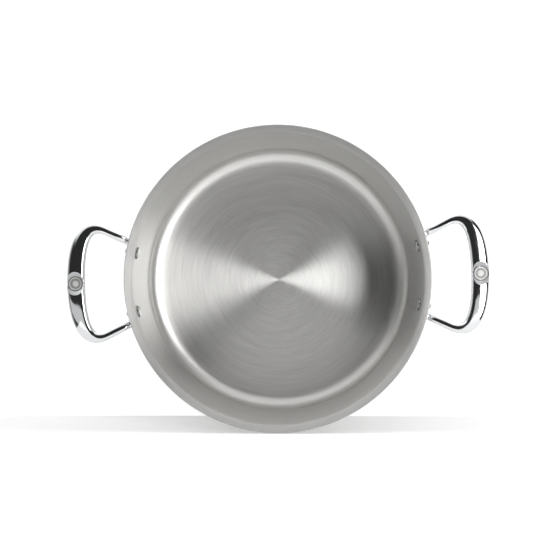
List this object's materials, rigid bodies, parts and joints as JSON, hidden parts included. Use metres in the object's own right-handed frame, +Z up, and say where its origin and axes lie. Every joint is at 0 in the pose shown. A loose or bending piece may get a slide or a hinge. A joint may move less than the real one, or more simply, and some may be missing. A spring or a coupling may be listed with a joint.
{
  "type": "stew pan",
  "caption": "Straight-sided clad steel stew pan with a flared pouring lip, a rounded base corner and riveted cast loop handles on opposite sides.",
  "frame": {"origin": "middle of the underside, on the surface that the pan stands on", "axes": "+Z up along the pot's axis, +X towards the right handle, +Y towards the rear"},
  "size_m": [0.3474, 0.2532, 0.1067],
  "materials": {
    "lining": "satin, brushed in circles about the axis",
    "core": "bare, seen only at the cut edge of the lip",
    "shell": "satin polished",
    "handle": "mirror polished cast stainless steel",
    "rivet": "satin",
    "badge": "satin, turned"
  },
  "bodies": {
    "root": {"inner_lining": "lining", "aluminium_core": "core", "outer_shell": "shell", "handle_right": "handle", "handle_left": "handle", "rivet_right_front": "rivet", "rivet_right_rear": "rivet", "rivet_left_front": "rivet", "rivet_left_rear": "rivet", "badge_right": "badge", "badge_left": "badge"}
  },
  "joints": []
}
